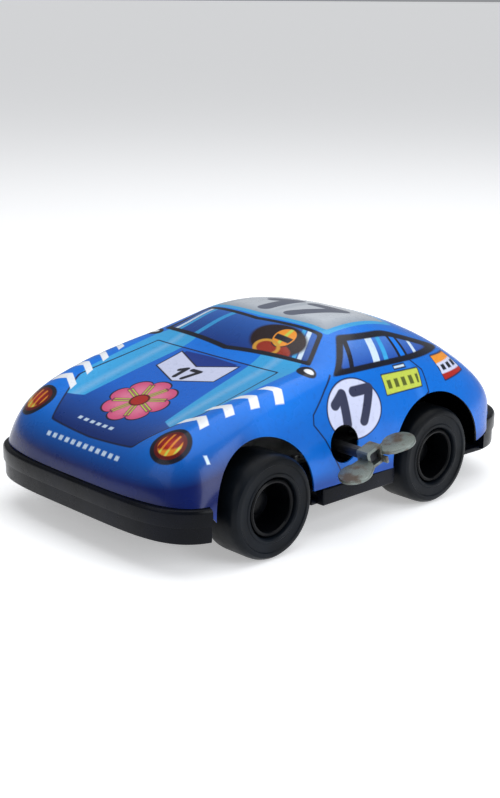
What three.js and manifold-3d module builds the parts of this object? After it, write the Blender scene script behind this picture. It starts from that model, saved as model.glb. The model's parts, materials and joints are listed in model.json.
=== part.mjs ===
// Wind-up tin race car: a pressed tin body on a moulded base, with a clockwork motor inside.
// Millimetres, +Z up. The nose points to -Y and the winding key stands out on +X, the car's left.
// Every piece is drawn in the car frame, whose origin is the middle of the front axle,
// and moved at the end so that the origin is under the middle of the whole toy.
import * as THREE from 'three';
import Module from 'manifold-3d';
import { mergeVertices } from 'three/addons/utils/BufferGeometryUtils.js';

const wasm = await Module();
wasm.setup();

// Whole toy
const TYRE_R = 11.5;
const WHEELBASE = 52.5;
const TO_WORLD = [-5.236, -31.22, TYRE_R];

// Running gear
const TYRE_IN = 26;
const TYRE_OUT = 37;
const TYRE_BORE = 6.6;
const AXLE_R = 1.2;
const AXLE_HALF = 31.1;
const GAP = 0.3;

// Body sheet and the openings cut in it
const TIN = 0.4;
const ARCH_FRONT = { y: -0.1, z: 0.45, r: 13.96 };
const ARCH_REAR = { y: 52.5, z: 1.24, r: 13.93 };
const KEYHOLE_R = 4.2;
const HEM_FRONT_Z = 3.7;
const HEM_SIDE_Z = 0.2;
const HEM_REAR_Z = 4.8;
const BODY_ROWS = 26;
const BODY_COLS = 11;

// Base moulding
const BASE_Z = -4.09;
const FLOOR_Z = -2.9;
const SILL_TOP = -0.1;
const SILL_X = 35.1;
const BUMPER_FRONT = { w: 36.4, a: 28.13, n: 4.64, y: 2.57, end: -15.7, dir: -1, z0: BASE_Z, z1: 3.4 };
const BUMPER_REAR = { w: 35.3, a: 25, n: 3.5, y: 63, end: 73.5, dir: 1, z0: -3.5, z1: 4.5 };
const BUMPER_THICK = 3.2;
const BUMPER_STEP = 0.4;

// Clockwork: arbor centres (Y, Z) chosen so that each pair of gears is in mesh
const MODULE = 0.6;
const A1 = [23.4, 7.8];
const A2 = [35.52, 11.25];
const A3 = [44.19, 4.8];
const A4 = [WHEELBASE, 0];
const PLATE_IN = 9.2;
const PLATE_OUT = 10;
const PILLARS = [[13.2, 0.4], [14.5, 18.0], [47, 14.5], [34.5, -0.9]];
const FOOT_X = 14.2;
const FOOT_Y = 28.5;
const FOOT_Z = -1.2;
const TAB_YS = [20.5, 35.5];
const TAB_Z = -3.95;

// Winding key
const KEY_X = 44.2;
const KEY_SPAN = 21.8;
const KEY_TILT = THREE.MathUtils.degToRad(17);

const LOOK = {
  tin: { color: 0x2468c8, roughness: 0.28, metalness: 0.15 },
  black: { color: 0x101418, roughness: 0.4, metalness: 0 },
  tyre: { color: 0x14171b, roughness: 0.5, metalness: 0 },
  key: { color: 0x9aa39e, roughness: 0.45, metalness: 0.9 },
  steel: { color: 0xb4b6b8, roughness: 0.35, metalness: 1 },
  darkSteel: { color: 0x3a3d42, roughness: 0.4, metalness: 1 },
  brass: { color: 0xc2a052, roughness: 0.35, metalness: 1 },
};

const car = new THREE.Group();
const inCar = new THREE.Group();
inCar.position.set(...TO_WORLD);
car.add(inCar);

// ---- Small helpers -------------------------------------------------------------------------

function welded(geometry) {
  const flat = geometry.clone();
  flat.deleteAttribute('normal');
  flat.deleteAttribute('uv');
  return mergeVertices(flat, 1e-5);
}

function volume(geometry) {
  const p = geometry.attributes.position;
  const index = geometry.index.array;
  const [a, b, c] = [new THREE.Vector3(), new THREE.Vector3(), new THREE.Vector3()];
  let sum = 0;
  for (let i = 0; i < index.length; i += 3) {
    a.fromBufferAttribute(p, index[i]);
    b.fromBufferAttribute(p, index[i + 1]);
    c.fromBufferAttribute(p, index[i + 2]);
    sum += a.dot(b.cross(c));
  }
  return sum / 6;
}

// One closed solid; a surface drawn inside out is turned so that its faces point out.
function solid(geometry) {
  const g = welded(geometry);
  const tri = Uint32Array.from(g.index.array);
  if (volume(g) < 0) {
    for (let i = 0; i < tri.length; i += 3) [tri[i], tri[i + 1]] = [tri[i + 1], tri[i]];
  }
  const vertProperties = Float32Array.from(g.attributes.position.array);
  return new wasm.Manifold(new wasm.Mesh({ numProp: 3, vertProperties, triVerts: tri }));
}

function addPiece(name, shape, look) {
  const mesh = shape.getMesh();
  const geometry = new THREE.BufferGeometry();
  geometry.setAttribute('position', new THREE.BufferAttribute(mesh.vertProperties, 3));
  geometry.setIndex(new THREE.BufferAttribute(mesh.triVerts, 1));
  geometry.computeVertexNormals();
  const piece = new THREE.Mesh(geometry, new THREE.MeshStandardMaterial(look));
  piece.name = name;
  inCar.add(piece);
}

function box(x0, x1, y0, y1, z0, z1) {
  const g = new THREE.BoxGeometry(x1 - x0, y1 - y0, z1 - z0);
  g.translate((x0 + x1) / 2, (y0 + y1) / 2, (z0 + z1) / 2);
  return solid(g);
}

function rodX(r, x0, x1, [y, z], sides = 16) {
  const g = new THREE.CylinderGeometry(r, r, x1 - x0, sides);
  g.rotateZ(-Math.PI / 2);
  g.translate((x0 + x1) / 2, y, z);
  return solid(g);
}

// Turns a profile of [radius, x] points about a line along X.
function turnedX(profile, [y, z], sides) {
  const g = new THREE.LatheGeometry(profile.map(([r, x]) => new THREE.Vector2(r, x)), sides);
  g.rotateZ(-Math.PI / 2);
  g.translate(0, y, z);
  return solid(g);
}

// Extrudes a shape drawn in (Y, Z) along X, from x0 to x1.
function plateX(shape, x0, x1, curveSegments = 12) {
  const g = new THREE.ExtrudeGeometry(shape, { depth: x1 - x0, bevelEnabled: false, curveSegments });
  g.applyMatrix4(new THREE.Matrix4().set(0, 0, 1, x0, 1, 0, 0, 0, 0, 1, 0, 0, 0, 0, 0, 1));
  return solid(g);
}

function plateZ(shape, z0, z1) {
  const g = new THREE.ExtrudeGeometry(shape, { depth: z1 - z0, bevelEnabled: false, curveSegments: 12 });
  g.translate(0, 0, z0);
  return solid(g);
}

// A closed outline, always drawn anticlockwise so that clockwise holes cut through it.
function outline(points) {
  const corners = points.map(([x, y]) => new THREE.Vector2(x, y));
  if (THREE.ShapeUtils.isClockWise(corners)) corners.reverse();
  return new THREE.Shape(corners);
}

function addHole(shape, [x, y], r) {
  const hole = new THREE.Path();
  hole.absarc(x, y, r, 0, 2 * Math.PI, true);
  shape.holes.push(hole);
}

// ---- Pressed body sheet --------------------------------------------------------------------

// Control points of one half of the pressing, nose to tail, each row from the middle to the hem.
const NET = [
  [[0, -24.6, 3.4], [9, -24.6, 3.4], [18, -24.2, 3.4], [26, -23, 3.4],
    [31.4, -20.6, 3.4], [33.8, -17.6, 3.0], [34.4, -15.2, 1.4], [34.5, -13.8, -0.5]],
  [[0, -24.2, 6.3], [9, -24.1, 6.3], [18, -23.7, 6.4], [26, -22.6, 6.6],
    [31.2, -19.8, 6.2], [34, -15.6, 4.6], [34.6, -12.8, 2], [34.6, -11.6, -0.6]],
  [[0, -22.8, 9.4], [9, -22.6, 9.6], [18, -22.2, 10.2], [25.2, -21.1, 11],
    [31, -17.6, 10.2], [34, -12.5, 7.2], [34.8, -10, 3.2], [34.8, -9, -0.6]],
  [[0, -19.5, 12.2], [8.5, -19.3, 12.4], [16.5, -19, 13.4], [23.8, -18.2, 15.2],
    [29.8, -14.6, 14.2], [33.4, -9.5, 9.8], [34.7, -7, 4.2], [34.8, -6, -0.6]],
  [[0, -13.5, 14.6], [9, -13.5, 14.7], [17, -13, 15.6], [24.2, -12.4, 18],
    [29.6, -8.8, 17], [33, -5, 11.8], [34.6, -3, 5.2], [34.8, -2, -0.6]],
  [[0, -5.5, 17.2], [10, -5.5, 17.3], [18.5, -5, 17.9], [25, -4, 20.6],
    [29.4, -1.5, 19], [32.8, 1, 13.2], [34.4, 2, 6.2], [34.7, 3, -0.6]],
  [[0, 3.5, 19.8], [11, 3.5, 19.9], [20, 4, 20.3], [25.8, 4.5, 22.2],
    [29.8, 6, 20.4], [32.8, 8, 14.2], [34.4, 9, 6.8], [34.7, 10, -0.6]],
  [[0, 12, 22], [11.5, 12.3, 22.1], [21, 13.5, 22.6], [26.8, 14.5, 23.8],
    [30.4, 16, 21.4], [33.2, 17, 14.8], [34.6, 17.5, 7], [35, 18, -0.8]],
  [[0, 17.8, 23.8], [11.5, 18.4, 23.8], [21.5, 20, 24], [27.2, 22, 24.6],
    [30.8, 23, 21.8], [33.5, 24, 15], [34.9, 24.5, 7.2], [35.2, 25, -0.8]],
  [[0, 23, 27.2], [11, 23.5, 27.2], [20.4, 25.8, 27.2], [26.2, 28.5, 26.4],
    [30.8, 29.5, 22.4], [33.8, 30, 15.4], [35.3, 31, 7.4], [35.4, 31.5, -0.8]],
  [[0, 28, 30.3], [10.5, 28.8, 30.3], [19.6, 31.2, 30], [24.9, 34, 27.3],
    [30.4, 35.5, 22.8], [34, 37, 15.6], [35.6, 37.5, 7.6], [35.6, 38, -0.8]],
  [[0, 35, 31.3], [10, 35.5, 31.3], [19.2, 37.2, 30.8], [24.4, 39.5, 27.6],
    [30.2, 41.5, 23], [34.2, 43, 16], [36.2, 43.5, 8], [36.2, 44, -0.8]],
  [[0, 42.5, 31.6], [10, 43, 31.6], [19, 44, 30.8], [24.4, 46, 27.4],
    [30.4, 47.5, 22.8], [34.8, 48.5, 16], [37.2, 49, 8.4], [37.4, 49.5, -0.6]],
  [[0, 50, 31], [10, 50.3, 30.9], [18.8, 51, 29.8], [24.6, 52.5, 26.1],
    [30.8, 53.5, 22], [35.4, 54, 15.8], [38, 54.5, 8.6], [38.2, 55, -0.2]],
  [[0, 58, 29], [10, 58, 28.8], [18.8, 58.4, 27.4], [25, 59.2, 24.2],
    [30.8, 59.6, 20.8], [35.4, 60, 15.4], [38, 60.5, 8.6], [38.2, 61, 0.4]],
  [[0, 66, 25.4], [10, 66, 25.2], [18.8, 66.2, 24.2], [25.2, 66.2, 22],
    [30.8, 66.2, 19], [35, 66.4, 14.2], [37.3, 66.6, 8.2], [37.6, 66.7, 1]],
  [[0, 74, 20.2], [10, 73.8, 20.1], [18.8, 73.4, 19.6], [25.2, 73, 18.2],
    [30.6, 72.6, 15.8], [34.2, 72, 12.2], [36, 71.2, 7.6], [36.4, 71.2, 1.6]],
  [[0, 81, 14.2], [10, 80.8, 14.2], [18.8, 79.9, 14], [25.2, 78.8, 13.2],
    [30.4, 77.2, 11.8], [33.4, 75.6, 9.6], [34.6, 74.2, 6.6], [35, 73.8, 2.2]],
  [[0, 85.2, 8.4], [10, 84.8, 8.4], [18.6, 83.6, 8.4], [25, 81.8, 8.2],
    [29.6, 79.6, 7.8], [32.2, 77.2, 7], [33.4, 75.4, 5.4], [33.9, 74.8, 3]],
  [[0, 86, 4.4], [10, 85.6, 4.4], [18.4, 84.4, 4.4], [24.8, 82.6, 4.4],
    [29.2, 80.4, 4.4], [31.8, 78.2, 4.4], [33, 76.4, 4.4], [33.6, 75.4, 4.2]],
];

// The net read past its edges: mirrored across the middle, carried straight on at the hems.
function netPoint(row, col) {
  const last = NET.length - 1;
  const beyond = (a, b) => a.map((v, k) => 2 * v - b[k]);
  if (row < 0) return beyond(netPoint(0, col), netPoint(1, col));
  if (row > last) return beyond(netPoint(last, col), netPoint(last - 1, col));
  if (col < 0) {
    const [x, y, z] = NET[row][-col];
    return [-x, y, z];
  }
  if (col > 7) return beyond(NET[row][7], NET[row][6]);
  return NET[row][col];
}

function splineWeights(t) {
  const s = 1 - t;
  return [s * s * s, 3 * t * t * t - 6 * t * t + 4, 3 * s * s * s - 6 * s * s + 4, t * t * t]
    .map((w) => w / 6);
}

// A point of the pressing: u runs nose to tail in rows, w from -7 to 7 across the car.
function bodyPoint(u, w) {
  const side = w < 0 ? -1 : 1;
  const row = Math.min(Math.floor(u), NET.length - 2);
  const col = Math.min(Math.floor(Math.abs(w)), 6);
  const along = splineWeights(u - row);
  const across = splineWeights(Math.abs(w) - col);
  const p = [0, 0, 0];
  for (let i = 0; i < 4; i += 1) {
    for (let j = 0; j < 4; j += 1) {
      const q = netPoint(row - 1 + i, col - 1 + j);
      for (let k = 0; k < 3; k += 1) p[k] += along[i] * across[j] * q[k];
    }
  }
  return new THREE.Vector3(side * p[0], p[1], p[2]);
}

function bodyNormal(u, w) {
  const e = 0.01;
  const du = bodyPoint(u + e, w).sub(bodyPoint(u - e, w));
  const dw = bodyPoint(u, w + e).sub(bodyPoint(u, w - e));
  return dw.cross(du).normalize();
}

function bodySheet() {
  const rows = BODY_ROWS + 1;
  const cols = 2 * BODY_COLS + 1;
  const outer = [];
  const inner = [];
  for (let i = 0; i < rows; i += 1) {
    for (let j = 0; j < cols; j += 1) {
      const u = Math.min(Math.max((i / BODY_ROWS) * (NET.length - 1), 0.011), NET.length - 1.011);
      const w = Math.min(Math.max((j / BODY_COLS - 1) * 7, -6.989), 6.989);
      const p = bodyPoint(u, w);
      const n = bodyNormal(u, w);
      if (n.dot(new THREE.Vector3(p.x, 0, p.z)) < 0) n.negate();
      outer.push(...p.toArray());
      inner.push(...p.clone().addScaledVector(n, -TIN).toArray());
    }
  }
  const half = rows * cols;
  const index = [];
  const quad = (a, b, c, d) => index.push(a, b, c, a, c, d);
  const at = (i, j) => i * cols + j;
  for (let i = 0; i + 1 < rows; i += 1) {
    for (let j = 0; j + 1 < cols; j += 1) {
      quad(at(i, j), at(i, j + 1), at(i + 1, j + 1), at(i + 1, j));
      quad(half + at(i, j), half + at(i + 1, j), half + at(i + 1, j + 1), half + at(i, j + 1));
    }
  }
  const rim = [];
  for (let j = 0; j < cols; j += 1) rim.push(at(0, j));
  for (let i = 1; i < rows; i += 1) rim.push(at(i, cols - 1));
  for (let j = cols - 2; j >= 0; j -= 1) rim.push(at(rows - 1, j));
  for (let i = rows - 2; i > 0; i -= 1) rim.push(at(i, 0));
  rim.forEach((a, k) => {
    const b = rim[(k + 1) % rim.length];
    quad(a, a + half, b + half, b);
  });
  const g = new THREE.BufferGeometry();
  g.setAttribute('position', new THREE.Float32BufferAttribute([...outer, ...inner], 3));
  g.setIndex(index);
  return solid(g);
}

// Half width of the body sheet at its side hem, at a distance y behind the front axle.
function hemHalfWidth(y) {
  let u = 1;
  while (bodyPoint(u, 6.98).y < y) u += 0.02;
  return bodyPoint(u, 6.98).x;
}

// A tab is a tongue of the sheet: it steps inwards, drops through the sill and is bent under it.
function bodyTab(side, y) {
  const span = (x0, x1) => (side > 0 ? [x0, x1] : [-x1, -x0]);
  const ledge = box(...span(33.2, hemHalfWidth(y) - 0.12), y - 1.4, y + 1.4, 0.2, 0.7);
  const tongue = box(...span(33.2, 33.6), y - 1.4, y + 1.4, TAB_Z, 0.5);
  const foot = box(...span(31.2, 33.6), y - 1.4, y + 1.4, TAB_Z, TAB_Z + TIN);
  return ledge.add(tongue).add(foot);
}

function bodyShell() {
  let body = bodySheet();
  for (const side of [-1, 1]) {
    for (const arch of [ARCH_FRONT, ARCH_REAR]) {
      const [x0, x1] = side > 0 ? [24, 46] : [-46, -24];
      body = body.subtract(rodX(arch.r, x0, x1, [arch.y, arch.z], 48));
    }
  }
  body = body.subtract(rodX(KEYHOLE_R, 28, 46, [23.5, 8.6], 20));
  body = body.subtract(box(-45, 45, -40, BUMPER_FRONT.end + GAP, -10, HEM_FRONT_Z));
  body = body.subtract(box(-45, 45, 10, 44, -10, HEM_SIDE_Z));
  body = body.subtract(box(-45, 45, BUMPER_REAR.end - GAP, 100, -10, HEM_REAR_Z));
  for (const side of [-1, 1]) {
    for (const y of TAB_YS) body = body.add(bodyTab(side, y));
  }
  return body;
}

// ---- Base moulding -------------------------------------------------------------------------

// Bumper plan curve: a squared-off oval, cut where the bumper ends.
function bumperCurve({ w, a, n, y, end, dir }, inset) {
  const [W, A] = [w - inset, a - inset];
  const edge = W * (1 - (Math.abs(end - y) / A) ** n) ** (1 / n);
  const points = [[edge, end]];
  const steps = 28;
  for (let i = 1; i < steps; i += 1) {
    const t = (Math.PI * i) / steps;
    const py = y + dir * A * Math.sin(t) ** (2 / n);
    const px = W * Math.sign(Math.cos(t)) * Math.abs(Math.cos(t)) ** (2 / n);
    if ((py - end) * dir > 0.2) points.push([px, py]);
  }
  points.push([-edge, end]);
  return points;
}

function bumper(b) {
  const band = (inset, z0, z1) => {
    const outside = bumperCurve(b, inset);
    const inside = bumperCurve(b, BUMPER_THICK).reverse();
    return plateZ(outline([...outside, ...inside]), z0, z1);
  };
  const middle = (b.z0 + b.z1) / 2;
  return band(BUMPER_STEP, b.z0, b.z1).add(band(0, middle, b.z1));
}

function floorPlate() {
  const front = bumperCurve(BUMPER_FRONT, 1.5);
  const rear = bumperCurve(BUMPER_REAR, 1.5).reverse();
  const left = [[-23.5, -14], [-23.5, 13.5], [-33, 15], [-33, 38], [-23.5, 40.5], [-23.5, 66.5],
    [-33, 68]];
  const right = left.map(([x, y]) => [-x, y]).reverse();
  return plateZ(outline([...front, ...left, ...rear, ...right]), BASE_Z, FLOOR_Z);
}

function baseTray() {
  let base = floorPlate().add(bumper(BUMPER_FRONT)).add(bumper(BUMPER_REAR));
  for (const side of [-1, 1]) {
    const span = (x0, x1) => (side > 0 ? [x0, x1] : [-x1, -x0]);
    base = base.add(box(...span(30.5, SILL_X), 16.5, 40, BASE_Z, SILL_TOP));
    for (const [y, z] of [[0, 0], A4]) {
      base = base.add(box(...span(20.6, 23.4), y - 3.6, y + 3.6, -3.4, 3.4));
      base = base.subtract(rodX(2.3 + GAP, ...span(20, 24), [y, z], 16));
    }
    for (const y of TAB_YS) {
      base = base.subtract(box(...span(32.9, 33.9), y - 1.7, y + 1.7, -6, 1));
      base = base.subtract(box(...span(30.9, 33.9), y - 1.7, y + 1.7, -6, TAB_Z + TIN + GAP));
    }
    base = base.add(rodZ(3.4, side * FOOT_X, FOOT_Y, -3.5, FOOT_Z - 0.4));
    base = base.subtract(rodZ(1.3, side * FOOT_X, FOOT_Y, -6, 0));
    base = base.subtract(rodZ(2.3, side * FOOT_X, FOOT_Y, -6, FLOOR_Z));
  }
  return base.subtract(box(-6.2, -1, 48.4, 56.6, -6, -2));
}

function rodZ(r, x, y, z0, z1) {
  const g = new THREE.CylinderGeometry(r, r, z1 - z0, 16);
  g.rotateX(Math.PI / 2);
  g.translate(x, y, (z0 + z1) / 2);
  return solid(g);
}

// ---- Wheels, axles and bushes ---------------------------------------------------------------

const TYRE_PROFILE = [[TYRE_BORE, 26.6], [7.2, TYRE_IN], [10.2, TYRE_IN], [11.2, 26.8],
  [TYRE_R, 28.2], [TYRE_R, 34.8], [11.2, 36.2], [10.2, TYRE_OUT], [7.3, 36.7], [TYRE_BORE, 36.0]];
const WHEEL_PROFILE = [[0, 31.4], [1.5, 31.4], [1.5, 25.6], [3, 25.6], [3, 27.2], [6.3, 27.2],
  [6.3, 36], [5.8, 36.4], [5.3, 36], [5.1, 29.2], [2.8, 28.8], [2.8, 31.8], [2.2, 32.2], [0, 32.2]];
const BUSH_PROFILE = [[1.5, 20.2], [2.3, 20.2], [2.3, 23.8], [3.3, 23.8], [3.3, 24.8], [1.5, 24.8]];

// A profile that starts on the axis is a closed cap; any other is closed on itself as a ring.
function ring(profile, side, centre, sides) {
  const half = profile.map(([r, x]) => [r, side * x]);
  return turnedX(half[0][0] === 0 ? half : [...half, half[0]], centre, sides);
}

function addRunningGear() {
  const ends = [['front', [0, 0]], ['rear', A4]];
  const hands = [['left', 1], ['right', -1]];
  for (const [end, centre] of ends) {
    addPiece(`${end}_axle`, rodX(AXLE_R, -AXLE_HALF, AXLE_HALF, centre, 16), LOOK.steel);
    for (const [hand, side] of hands) {
      addPiece(`tyre_${end}_${hand}`, ring(TYRE_PROFILE, side, centre, 24), LOOK.tyre);
      addPiece(`wheel_${end}_${hand}`, ring(WHEEL_PROFILE, side, centre, 20), LOOK.black);
      addPiece(`axle_bush_${end}_${hand}`, ring(BUSH_PROFILE, side, centre, 14), LOOK.black);
    }
  }
}

// ---- Clockwork motor -----------------------------------------------------------------------

// Teeth are straight-sided trapezoids; the first points at the given angle.
function gearShape(teeth, [cy, cz], angle) {
  const pitchR = (MODULE * teeth) / 2;
  const step = (2 * Math.PI) / teeth;
  const corners = [[pitchR - 1.2 * MODULE, -0.29], [pitchR + 0.8 * MODULE, -0.085],
    [pitchR + 0.8 * MODULE, 0.085], [pitchR - 1.2 * MODULE, 0.29]];
  const points = [];
  for (let i = 0; i < teeth; i += 1) {
    for (const [r, part] of corners) {
      const t = angle + (i + part) * step;
      points.push([cy + r * Math.cos(t), cz + r * Math.sin(t)]);
    }
  }
  return outline(points);
}

function gear(teeth, centre, angle, x0, x1, bore) {
  const shape = gearShape(teeth, centre, angle);
  addHole(shape, centre, bore);
  return plateX(shape, x0, x1, 6);
}

const bearing = (from, to) => Math.atan2(to[1] - from[1], to[0] - from[0]);

// Each pair: the wheel's first tooth points at the pinion, and a pinion gap faces it.
function meshedPair(wheelTeeth, wheelAt, pinionTeeth, pinionAt) {
  const angle = bearing(wheelAt, pinionAt);
  return [angle, angle + Math.PI + Math.PI / pinionTeeth];
}

function addGears() {
  const [g1, p1] = meshedPair(32, A1, 10, A2);
  const [g2, p2] = meshedPair(26, A2, 10, A3);
  const [g3, p3] = meshedPair(22, A3, 10, A4);
  const stud = rodX(0.6, 2, 3.9, [A1[0], A1[1] + 7.6], 10);
  addPiece('great_wheel', gear(32, A1, g1, 1.2, 2.2, 1.6).add(stud), LOOK.brass);
  addPiece('second_pinion', gear(10, A2, p1, 0.4, 3, 1.3), LOOK.steel);
  addPiece('second_wheel', gear(26, A2, g2, 6, 7, 1.3), LOOK.brass);
  addPiece('third_pinion', gear(10, A3, p2, 5.3, 8, 1.3), LOOK.steel);
  addPiece('third_wheel', gear(22, A3, g3, -4, -3, 1.3), LOOK.brass);
  addPiece('axle_pinion', gear(10, A4, p3, -5, -2.2, AXLE_R + GAP), LOOK.steel);
}

function addArbors() {
  const stepped = [[0, -10.7], [0.7, -10.7], [0.7, -8.9], [1, -8.9],
    [1, 8.9], [0.7, 8.9], [0.7, 10.7], [0, 10.7]];
  addPiece('second_arbor', turnedX(stepped, A2, 12), LOOK.steel);
  addPiece('third_arbor', turnedX(stepped, A3, 12), LOOK.steel);
  const shaft = rodX(1.3, -10.8, 39.6, A1, 14);
  const square = box(39.4, 43, -1.15, 1.15, -1.15, 1.15)
    .rotate([THREE.MathUtils.radToDeg(KEY_TILT), 0, 0])
    .translate([0, A1[0], A1[1]]);
  addPiece('winding_arbor', shaft.add(square), LOOK.darkSteel);
}

function addPlates() {
  const edge = [[11.2, -2.4], [56.5, -2.4], [56.5, 5], [51, 17], [44, 20], [14, 20.5], [11.2, 18]];
  for (const [hand, side] of [['left', 1], ['right', -1]]) {
    const shape = outline(edge);
    addHole(shape, A1, 1.6);
    addHole(shape, A2, 1.0);
    addHole(shape, A3, 1.0);
    addHole(shape, A4, AXLE_R + GAP);
    for (const at of PILLARS) addHole(shape, at, 1.1);
    const [x0, x1] = side > 0 ? [PLATE_IN, PLATE_OUT] : [-PLATE_OUT, -PLATE_IN];
    const [f0, f1] = side > 0 ? [9.6, 16.8] : [-16.8, -9.6];
    const foot = box(f0, f1, FOOT_Y - 3, FOOT_Y + 3, FOOT_Z, FOOT_Z + 0.8);
    const plate = plateX(shape, x0, x1, 5).add(foot);
    addPiece(`motor_plate_${hand}`, plate.subtract(rodZ(1.3, side * FOOT_X, FOOT_Y, -3, 1)), LOOK.steel);
    addPiece(`motor_screw_${hand}`, screw(side * FOOT_X), LOOK.steel);
  }
  const waist = [[0, -10.6], [0.8, -10.6], [0.8, -8.9], [1.5, -8.9],
    [1.5, 8.9], [0.8, 8.9], [0.8, 10.6], [0, 10.6]];
  PILLARS.forEach((at, i) => addPiece(`pillar_${i + 1}`, turnedX(waist, at, 10), LOOK.steel));
}

function screw(x) {
  const profile = [[0, -4.0], [1.7, -4.0], [2, -3.8], [2, -3.2], [1, -3.2], [1, 0.2], [0, 0.2]];
  const g = new THREE.LatheGeometry(profile.map(([r, z]) => new THREE.Vector2(r, z)), 14);
  g.rotateX(Math.PI / 2);
  g.translate(x, FOOT_Y, 0);
  return solid(g);
}

// The spring is a flat ribbon coiled round the winding arbor; its outer end runs out to pillar 2.
// It unwinds clockwise seen from the key, which drives the car nose first through three meshes.
function mainspring() {
  const [cy, cz] = A1;
  const ribbon = 0.36;
  const anchor = bearing(A1, PILLARS[1]);
  const reach = Math.hypot(PILLARS[1][0] - cy, PILLARS[1][1] - cz) - 1.5 - GAP;
  const turns = 5.75;
  const steps = 96;
  const outside = [];
  const inside = [];
  for (let i = 0; i <= steps; i += 1) {
    const s = i / steps;
    const t = anchor + (1 - s) * turns * 2 * Math.PI;
    const tail = Math.max(0, s - 0.94) / 0.06;
    const r = 1.95 + (8.7 - 1.95) * s + (reach - 8.9) * tail * tail;
    outside.push([cy + (r + ribbon / 2) * Math.cos(t), cz + (r + ribbon / 2) * Math.sin(t)]);
    inside.push([cy + (r - ribbon / 2) * Math.cos(t), cz + (r - ribbon / 2) * Math.sin(t)]);
  }
  return plateX(outline([...outside, ...inside.reverse()]), -8, 0);
}

// Saw teeth: the key turns them one way past the click and they hold the other way.
function ratchetWheel() {
  const teeth = 12;
  const points = [];
  for (let i = 0; i < teeth; i += 1) {
    const t0 = (-2 * Math.PI * i) / teeth;
    const t1 = t0 - (2 * Math.PI * 0.82) / teeth;
    points.push([A1[0] + 3.1 * Math.cos(t0), A1[1] + 3.1 * Math.sin(t0)]);
    points.push([A1[0] + 4.0 * Math.cos(t1), A1[1] + 4.0 * Math.sin(t1)]);
  }
  const shape = outline(points);
  addHole(shape, A1, 1.6);
  return plateX(shape, 2.6, 3.6, 6);
}

function click() {
  const pivot = [A1[0], A1[1] + 7.6];
  const nose = [-4.1, -5.2];
  const aim = Math.atan2(nose[1], nose[0]);
  const across = [Math.sin(aim) * 0.3, -Math.cos(aim) * 0.3];
  const points = [];
  for (let i = 0; i <= 8; i += 1) {
    const t = aim - Math.PI / 2 - (Math.PI * i) / 8;
    points.push([pivot[0] + 1.5 * Math.cos(t), pivot[1] + 1.5 * Math.sin(t)]);
  }
  points.push([pivot[0] + nose[0] - across[0] * 0.2, pivot[1] + nose[1] - across[1] * 0.2]);
  points.push([pivot[0] + nose[0] + across[0] * 2, pivot[1] + nose[1] + across[1] * 2]);
  const shape = outline(points);
  addHole(shape, pivot, 0.9);
  return plateX(shape, 2.6, 3.6, 6);
}

function clickSpring() {
  const points = [[6.5, -3.2], [8.1, -3.2], [8.1, -1.4], [7.7, -1.2], [7.7, 1.6], [7.3, 4.1],
    [7.0, 4.0], [7.35, 1.6], [7.35, -1.2], [6.5, -1.4]];
  return plateX(outline(points.map(([y, z]) => [A1[0] - y, A1[1] + z])), 2.6, 3.4);
}

// ---- Winding key ---------------------------------------------------------------------------

// One wing: a neck that widens into a round paddle, drawn in (X, outwards).
function keyWing(side) {
  const r = 3.75;
  const reach = KEY_SPAN / 2 - r;
  const points = [[40.8, 2.0]];
  for (let i = 0; i <= 12; i += 1) {
    const t = Math.PI * (1.2 - (1.4 * i) / 12);
    points.push([KEY_X + r * Math.cos(t), reach + r * Math.sin(t)]);
  }
  points.push([43.8, 2.0]);
  const wing = points.map(([x, s]) => [x, side * s]);
  return plateZ(outline(wing), -0.45, 0.45);
}

function windingKey() {
  let key = box(40.6, 43.8, -2.4, 2.4, -2.2, 2.2);
  key = key.add(keyWing(1)).add(keyWing(-1));
  key = key.add(box(43.4, 45.2, 1.7, 2.4, -2.2, -0.6));
  key = key.subtract(box(40, 44, -1.6, 1.6, -1.5, 1.5));
  return key.rotate([THREE.MathUtils.radToDeg(KEY_TILT), 0, 0]).translate([0, A1[0], A1[1]]);
}

addPiece('body_shell', bodyShell(), LOOK.tin);
addPiece('base_tray', baseTray(), LOOK.black);
addPiece('winding_key', windingKey(), LOOK.key);
addRunningGear();
addGears();
addArbors();
addPlates();
addPiece('mainspring', mainspring(), LOOK.steel);
addPiece('ratchet_wheel', ratchetWheel(), LOOK.steel);
addPiece('click', click(), LOOK.steel);
addPiece('click_spring', clickSpring(), LOOK.brass);

export default car;
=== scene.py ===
# %% [markdown]
# # A wind-up tin race car
# A toy of this kind has three groups of parts: a sheet of tinplate that is printed flat and then
# pressed into a car body, a black moulded base with bumpers and wheels, and a clockwork motor.
# This notebook puts a fine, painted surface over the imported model. The model is in metres, with
# the nose towards -Y and the winding key on +X.

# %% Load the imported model
import bpy
import bmesh
import json
import math
from mathutils import Matrix, Vector

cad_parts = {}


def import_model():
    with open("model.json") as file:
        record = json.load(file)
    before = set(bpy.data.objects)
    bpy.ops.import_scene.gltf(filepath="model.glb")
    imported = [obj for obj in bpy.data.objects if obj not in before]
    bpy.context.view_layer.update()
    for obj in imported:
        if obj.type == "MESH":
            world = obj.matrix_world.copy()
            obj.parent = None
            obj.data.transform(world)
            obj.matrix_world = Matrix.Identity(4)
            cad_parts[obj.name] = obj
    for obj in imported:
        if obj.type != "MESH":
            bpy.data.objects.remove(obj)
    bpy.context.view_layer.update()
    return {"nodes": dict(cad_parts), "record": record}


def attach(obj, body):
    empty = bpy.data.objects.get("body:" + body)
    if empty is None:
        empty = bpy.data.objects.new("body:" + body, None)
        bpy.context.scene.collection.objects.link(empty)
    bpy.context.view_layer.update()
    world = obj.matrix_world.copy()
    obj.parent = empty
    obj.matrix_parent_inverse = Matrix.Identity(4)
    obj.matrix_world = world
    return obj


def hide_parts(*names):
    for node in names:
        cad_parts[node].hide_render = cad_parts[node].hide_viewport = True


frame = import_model()

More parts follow.
